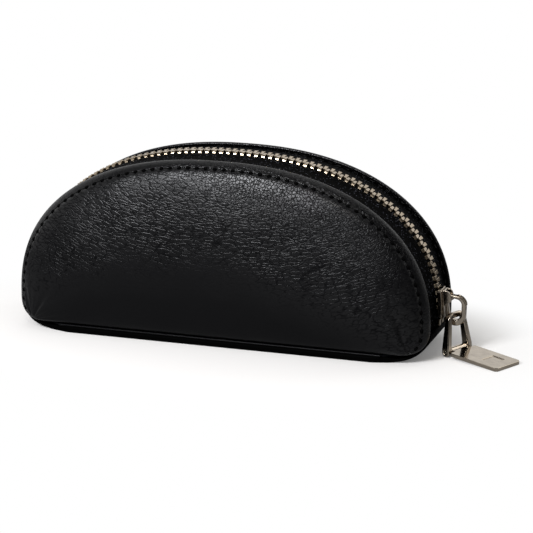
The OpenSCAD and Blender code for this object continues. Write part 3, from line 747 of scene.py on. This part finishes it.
for half, front in HALVES:
    hide = swollen_layer(half + "_hide", front, 0, LEATHER, black_calf,
                         seed=11 if front else 23)
    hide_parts(half + "_panel")
    foam_top = LEATHER + GAP
    foam = swollen_layer(half + "_foam", front, foam_top, foam_top + FOAM, foam_cells)
    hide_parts(half + "_padding")
    cloth_top = foam_top + FOAM + GAP
    cloth = swollen_layer(half + "_cloth", front, cloth_top, cloth_top + LINING, lining_cloth)
    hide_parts(half + "_lining")
    print(half, "side:", len(hide.data.polygons), "faces of leather")

# %% [markdown]
# ## The turned edge
#
# A band of the same leather, skived thin, is turned over the edge of each side and sewn down
# beside the seam. In section it is a rounded fold at the mouth and a soft swelling that dips to
# the seam. A bevelled box would look stamped, so the section is a closed curve through a few
# points, each an inset from the edge and a depth from the mouth, carried round the side's line.

# %% Binding
def smooth_ring(knots, count):
    """A closed curve through the knots: each stretch is the Catmull-Rom cubic of its four
    nearest knots, sampled evenly."""
    k = np.asarray(knots, float)
    t = np.linspace(0, 1, count, endpoint=False)[:, None]
    out = []
    for i in range(len(k)):
        a, b, c, d = k[i - 1], k[i], k[(i + 1) % len(k)], k[(i + 2) % len(k)]
        out.append(0.5 * (2 * b + (c - a) * t + (2 * a - 5 * b + 4 * c - d) * t ** 2
                          + (3 * b - a - 3 * c + d) * t ** 3))
    return np.concatenate(out)


section = smooth_ring([(1.25, 0.35), (0.66, -0.06), (0.16, 0.1), (-0.04, 0.75), (0.32, 1.75),
                       (1.05, 2.75), (1.75, 3.35), (2.2, 3.62), (2.35, 3.1), (2.1, 2.4)], 4)
for half, front in HALVES:
    rows = np.stack([band_point(inset, depth) for inset, depth in section])
    if not front:
        rows = rows * (1, -1, 1)
    mesh = grid_mesh(half + "_turned_edge", rows, u=along(rows[0]),
                     v=along(np.vstack([rows[:, 0], rows[:1, 0]]), closed=False),
                     wrap_rows=True)
    band = finish_mesh(half + "_turned_edge", mesh, edge_calf)
    bend_with_side(band, front)
    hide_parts(half + "_binding")
    print(half, "binding:", len(mesh.polygons), "faces")

# %% [markdown]
# ## The stitches
#
# A saddle seam shows short stretches of thread that dive into shared holes. A curve with a
# pattern of holes would be flat from the side, so each stitch is a short capsule, lowest at its
# ends. The thread is 1.2 mm thick, a little more than sewing thread is, so that it shows.

# %% Stitches
SUNK_END, STAND = 0.5, 0.12  # how far a stitch's ends dip, and how far it stands out


def capsules(path, facing, starts, length, thick, around=6, rings=6):
    """Short stitches along a path: each is a row of circles whose radius falls to nothing at
    both ends, and whose middle dips by the cube of the distance from the stitch's middle."""
    dist = along(path, closed=False)
    t = np.linspace(-1, 1, rings)
    s = starts[:, None] + t[None] * length / 2
    centre = np.stack([np.interp(s, dist, path[:, k]) for k in range(3)], -1)
    out = np.stack([np.interp(s, dist, facing[:, k]) for k in range(3)], -1)
    out /= np.linalg.norm(out, axis=-1, keepdims=True)
    ahead = np.gradient(centre, axis=1)
    ahead /= np.linalg.norm(ahead, axis=-1, keepdims=True)
    aside = np.cross(ahead, out)
    radius = thick / 2 * np.sqrt(np.clip(1 - t ** 4, 0, 1))
    rise = -SUNK_END * np.abs(t) ** 3
    phi = np.linspace(0, 2 * math.pi, around, endpoint=False)
    ring = (centre + out * rise[:, None])[:, :, None] + radius[:, None, None] * (
        np.cos(phi)[:, None] * out[:, :, None] + np.sin(phi)[:, None] * aside[:, :, None])
    count = len(starts)
    index = np.arange(count * rings * around).reshape(count, rings, around)
    right = np.roll(index, -1, 2)
    quads = np.stack([index[:, :-1], index[:, 1:], right[:, 1:], right[:, :-1]], -1)
    return ring.reshape(-1, 3), quads.reshape(-1, 4)


for half, front in HALVES:
    seam, columns, far, starts = stitch_places()
    band_side = band_point(1.9, 3.30)
    hide_side = skin(0, [0.012])[0]
    tangent = np.roll(seam, -1, 0) - np.roll(seam, 1, 0)
    facing = np.cross(tangent, hide_side - band_side)
    facing /= np.linalg.norm(facing, axis=-1, keepdims=True)
    facing *= np.where(facing[:, 1:2] > 0, -1, 1)
    path = (seam + facing * STAND)[columns]
    facing = facing[columns]
    points, quads = capsules(path, facing, starts, STITCH_LENGTH, THREAD)
    if not front:
        points, quads = points * (1, -1, 1), quads[:, ::-1]
    mesh = bpy.data.meshes.new(half + "_stitches")
    mesh.from_pydata((points * MM).tolist(), [], quads.tolist())
    weld(mesh, 1e-6)
    thread = finish_mesh(half + "_stitches", mesh, waxed_thread)
    bend_with_side(thread, front)
    print(half, "stitches:", len(starts))

# %% [markdown]
# ## The zip's tapes
#
# Each tape is a strip of knit that is sewn in under the turned edge and runs flat to the chain.
# A curve with a flat bevel would make an even strip, but this one dips on its way to the seam.
# So it is one closed section carried over the arch, given by pairs of numbers: the distance from
# the chain's middle, and how far the tape lies under the zip line there.

# %% Tapes
TAPE_ROWS = np.array([(1.5, 0.1), (2.6, 0.2), (3.3, 0.3), (4.9, 0.34), (6.5, 0.7), (8.5, 0.9),
                      (11, 1.15), (13, 1.35), (15.0, 1.65), (16.2, 2.6)])
TAIL = 2.0
turns = np.radians(np.linspace(0, 180, 260))


def zip_line(sunk):
    """The zip's arch, sunk by that much, with straight tails down to the stops."""
    x, z = arch_line(ZIP_A - sunk, ZIP_RISE - sunk, turns)
    low = [ZIP_FOOT - TAIL]
    return np.concatenate([x[:1], x, x[-1:]]), np.concatenate([low, z, low])


for half, front in HALVES:
    wide = np.linspace(TAPE_ROWS[0, 0], TAPE_ROWS[-1, 0], 22)
    sunk = np.interp(wide, TAPE_ROWS[:, 0], TAPE_ROWS[:, 1])
    section = [(y, d - TAPE / 2) for y, d in zip(wide, sunk)]
    section += [(y, d + TAPE / 2) for y, d in zip(wide[::-1], sunk[::-1])]
    lines = []
    for y, d in section:
        x, z = zip_line(d)
        lines.append(np.stack([x, np.full(len(x), -y), z], -1))
    points = np.stack(lines, 1)
    ends = [np.broadcast_to(points[k].mean(0), points[k].shape)[None] for k in (0, -1)]
    points = np.concatenate([ends[0], points, ends[1]])
    if not front:
        points = points * (1, -1, 1)
    mesh = grid_mesh(half + "_tape", points, u=along(points[3]),
                     v=along(points[:, 0], closed=False))
    tape = finish_mesh(half + "_tape", mesh, tape_knit, smooth_angle=50)
    bend_with_side(tape, front)
    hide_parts(half + "_zip_tape")
    print(half, "tape:", len(mesh.polygons), "faces")

# %% [markdown]
# ## The zip's teeth
#
# The teeth are zinc, cast on to the tape: a wide foot that grips it and a narrower head that
# locks between two heads of the other row. Copies of one object would each need a place of their
# own, so one tooth is drawn as an outline with chamfered edges and is set out along the zip line
# by the line's own frame at each place. A whole row is then a single set of arrays. Each tooth
# keeps to 50 faces, since there are 156 of them.

# %% Where the teeth stand
# a row starts MARGIN below the height of the slider and stops MARGIN short of the left foot
SLIDER_Z, MARGIN = 18.9, 1.2
FIRST_TOOTH = SLIDER_Z - ZIP_FOOT - MARGIN
dense = np.radians(np.linspace(0, 180, 1441))
line_x, line_z = arch_line(ZIP_A, ZIP_RISE, dense)
line_s = along(np.stack([line_x, line_z], -1), closed=False)
TEETH = int((line_s[-1] - MARGIN - FIRST_TOOTH) // TOOTH_PITCH)


def zip_frame(s):
    """Place on the zip line at distance s from its right foot, the direction down the chain and
    the direction out of the case, each as x and z."""
    t = np.interp(s, line_s, dense)
    x, z = arch_line(ZIP_A, ZIP_RISE, t)
    xa, za = arch_line(ZIP_A, ZIP_RISE, t - 0.009)
    xb, zb = arch_line(ZIP_A, ZIP_RISE, t + 0.009)
    down = np.stack([xa - xb, za - zb], -1)
    down /= np.linalg.norm(down, axis=-1, keepdims=True)
    return np.stack([x, z], -1), down, np.stack([-down[:, 1], down[:, 0]], -1)


print("teeth in a row:", TEETH)

# %% One tooth, and a row of them
# Plan of a tooth as (down the chain, across the case, half of its height there).
PLAN = np.array([(-0.56, -2.98, 0.95), (-0.72, -2.8, 1.12), (-0.72, -1.4, 1.15),
                 (-0.56, -1.0, 0.98), (-0.56, 0.62, 0.90), (-0.30, 0.95, 0.84),
                 (0.30, 0.95, 0.84), (0.56, 0.62, 0.90), (0.56, -1.0, 0.98),
                 (0.72, -1.4, 1.15), (0.72, -2.8, 1.12), (0.56, -2.98, 0.95)])
CHAMFER = 0.12


def teeth_points(starts):
    """Every tooth of a row: five rings of the plan, of which the outer two are drawn in by the
    chamfer. Its foot's end leans back from the middle ring, as a casting's draft does."""
    plan, half_height = PLAN[:, :2], PLAN[:, 2]
    inner = plan + (plan.mean(0) - plan) * (CHAMFER / 0.7, CHAMFER / 1.9)
    end = np.clip((-2.4 - plan[:, 1]) / 0.4, 0, 1)
    lean = end[:, None] * (0, 1)
    outer, cut_back = plan + 0.17 * lean, CHAMFER + 0.32 * end
    rings = []
    for level, ring, cut in ((-1, inner + 0.45 * lean, 0), (-1, outer, cut_back), (0, plan, 0),
                             (1, outer, cut_back), (1, inner + 0.45 * lean, 0)):
        rings.append(np.column_stack([ring, level * (half_height - cut)]))
    tooth = np.stack(rings)
    place, down, out = zip_frame(starts)
    x = place[:, 0, None, None] + tooth[..., 0] * down[:, 0, None, None] \
        + tooth[..., 2] * out[:, 0, None, None]
    z = place[:, 1, None, None] + tooth[..., 0] * down[:, 1, None, None] \
        + tooth[..., 2] * out[:, 1, None, None]
    return np.stack([x, np.broadcast_to(tooth[..., 1], x.shape), z], -1)


print("a tooth is", np.ptp(PLAN[:, 1]).round(2), "mm long")

# %% Rows of teeth
for half, front in HALVES:
    starts = FIRST_TOOTH + (np.arange(TEETH) + (0 if front else 0.5)) * TOOTH_PITCH
    points = teeth_points(starts)
    n, rings, around = points.shape[:3]
    index = np.arange(n * rings * around).reshape(n, rings, around)
    right = np.roll(index, -1, 2)
    quads = np.stack([index[:, :-1], right[:, :-1], right[:, 1:], index[:, 1:]], -1)
    faces = quads.reshape(-1, 4).tolist() + index[:, 0, ::-1].tolist() + index[:, -1].tolist()
    flat = points.reshape(-1, 3)
    if not front:
        flat = flat * (1, -1, 1)
        faces = [face[::-1] for face in faces]
    mesh = bpy.data.meshes.new(half + "_row")
    mesh.from_pydata((flat * MM).tolist(), [], faces)
    work = bmesh.new()
    work.from_mesh(mesh)
    bmesh.ops.recalc_face_normals(work, faces=work.faces)
    work.to_mesh(mesh)
    work.free()
    row = finish_mesh(half + "_row", mesh, tooth_nickel, smooth_angle=20)
    bend_with_side(row, front)
    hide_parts(half + "_teeth")
    print(half, "row:", n, "teeth of", len(faces) // n, "faces")

# %% [markdown]
# ## Stops, slider and puller
#
# These pieces are cast or stamped metal whose shapes the solid model already has. What a drawn
# solid lacks is the soft edge that tumbling leaves, which catches the light. Drawing them anew
# would risk their fit, so each one is a copy of its solid, merged and cleared of the lines across
# its flat faces, with a bevel: a wide one on the ring and the shackle, which are nearly round.

# %% Copies with soft edges
def softened(node, name, material, body, bevel, segments=2):
    """A copy of a node's mesh with its doubles merged, flat faces joined, and every edge that
    turns by more than 28 degrees bevelled by that width in millimetres."""
    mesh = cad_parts[node].data.copy()
    mesh.name = name
    work = bmesh.new()
    work.from_mesh(mesh)
    bmesh.ops.remove_doubles(work, verts=work.verts, dist=2e-6)
    bmesh.ops.dissolve_limit(work, angle_limit=math.radians(0.6), verts=work.verts,
                             edges=work.edges)
    work.to_mesh(mesh)
    work.free()
    for attribute in list(mesh.attributes):
        if attribute.name in ("custom_normal", "sharp_edge"):
            mesh.attributes.remove(attribute)
    made = finish_mesh(name, mesh, material, body, smooth_angle=40)
    soft = made.modifiers.new("soft edges", "BEVEL")
    soft.width = bevel * MM
    soft.segments = segments
    soft.limit_method = "ANGLE"
    soft.angle_limit = math.radians(28)
    soft.harden_normals = True
    soft.use_clamp_overlap = False
    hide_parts(node)
    print(name, "from", node, len(mesh.polygons), "faces")
    return made


for half, front in HALVES:
    stop = softened(half + "_top_stop", half + "_crimp", tooth_nickel, None, 0.12)
    bend_with_side(stop, front)
softened("bottom_stop", "end_crimp", tooth_nickel, "base", 0.12)
for node, name, body, bevel, segments in (
        ("slider_body", "slider_shell", "slider", 0.22, 3),
        ("slider_bail", "slider_crown", "slider", 0.20, 3),
        ("pull_ring", "pull_loop", "ring", 0.46, 4),
        ("pull_shackle", "pull_stirrup", "shackle", 0.42, 4),
        ("shackle_pin", "pull_rivet", "shackle", 0.12, 2),
        ("pull_plate", "pull_tag", "plate", 0.20, 3)):
    softened(node, name, nickel, body, bevel, segments)

# %% [markdown]
# ## The base
#
# The base is a sole of thicker calf under a board. Its long edges stand up a little, and a thin
# piping lies in the groove between them and the sides. A slab with its ends bent up would keep
# that lip all the way, and here it sinks where they turn up, so the sole is a section carried
# from end to end. Board and piping are plain: they keep their solids and only get their finish.

# %% Base
BASE_FLAT_X, BASE_TURN, SOLE_END = 65.2, 15.5, 10.4
LIP, LIP_END, LIP_FADE = 1.0, 69, 6


def sole_rows():
    """The sole's section carried from end to end. Its middle line is level and then turns up
    over a quarter ellipse. Its width shrinks like the sides' corners, and its lip stands up
    beside the board and sinks into the leather where the turn begins."""
    t = np.linspace(0, math.pi / 2, 40)
    turn_x, turn_z = BASE_FLAT_X + BASE_TURN * np.sin(t), SOLE_END * (1 - np.cos(t))
    flat = np.linspace(-BASE_FLAT_X, BASE_FLAT_X, 92)[1:-1]
    x = np.concatenate([-turn_x[::-1], flat, turn_x])
    z = np.concatenate([turn_z[::-1], np.zeros(len(flat)), turn_z])
    lean = np.arctan2(np.gradient(z), np.gradient(x))
    c = np.radians(np.linspace(0, 90, 60))
    cx = FLAT_X + (EDGE_A - FLAT_X) * np.abs(np.cos(c)) ** (2 / CORNER_FULLNESS)
    cz = ZIP_FOOT - (ZIP_FOOT - EDGE_FOOT) * np.sin(c) ** (2 / CORNER_FULLNESS)
    cy = EDGE_Y + (BASE_EDGE_Y - EDGE_Y) * np.sin(c) ** 1.5 - 0.35
    plan = np.interp(np.abs(x), np.append([0, 60], cx[::-1]), np.append([FOOT_Y, FOOT_Y], cy[::-1]))
    end_view = np.interp(z, np.append([0, EDGE_FOOT - 0.8], cz[::-1]),
                         np.append([FOOT_Y, FOOT_Y], cy[::-1]))
    half = np.minimum(plan, end_view)
    lip = LEATHER + LIP * np.clip((LIP_END - np.abs(x)) / LIP_FADE, 0, 1) ** 0.5
    rows = []
    for out, up, fixed in ((-0.55, 0.0, 1), (-0.12, 0.12, 1), (0.0, 0.5, 1), (0.0, -0.35, 0),
                           (-0.12, -0.1, 0), (-0.45, 0.0, 0), (-0.9, -0.05, 0),
                           (-1.2, -0.3, 0)):
        rows.append((half + out, np.full_like(half, up) if fixed else lip + up))
    rows.append((half - 1.6, np.full_like(half, LEATHER)))
    ring = [(w, h) for w, h in rows] + [(-w, h) for w, h in rows[::-1]]
    points = np.stack([np.stack([x - h * np.sin(lean), w, z + h * np.cos(lean)], -1)
                       for w, h in ring], 1)
    ends = [np.broadcast_to(points[k].mean(0), points[k].shape)[None] for k in (0, -1)]
    return np.concatenate([ends[0], points, ends[1]])


sole = finish_mesh("sole_hide", grid_mesh("sole_hide", sole_rows()), sole_calf,
                   "base", smooth_angle=60)
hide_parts("base_panel")
softened("base_lining", "sole_cloth", lining_cloth, "base", 0.1)
for node, material in (("base_board", grey_board), ("front_piping", piping_calf),
                       ("rear_piping", piping_calf)):
    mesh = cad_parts[node].data
    if not mesh.materials:
        mesh.materials.append(material)
    for k in range(len(mesh.materials)):
        mesh.materials[k] = material
    print(node, "keeps its solid")

# %% [markdown]
# ## Size
#
# The finished case should be as large as its solid, apart from the thickness of a soft surface.
# Both boxes are measured and kept side by side.

# %% Sizes of the finished case
bpy.context.view_layer.update()
finished_box = [list(map(float, corner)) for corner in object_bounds()]
for name, corners in (("solid", solid_box), ("finished", finished_box)):
    print(name, "box:", [[round(c * 1000, 2) for c in corner] for corner in corners], "mm")
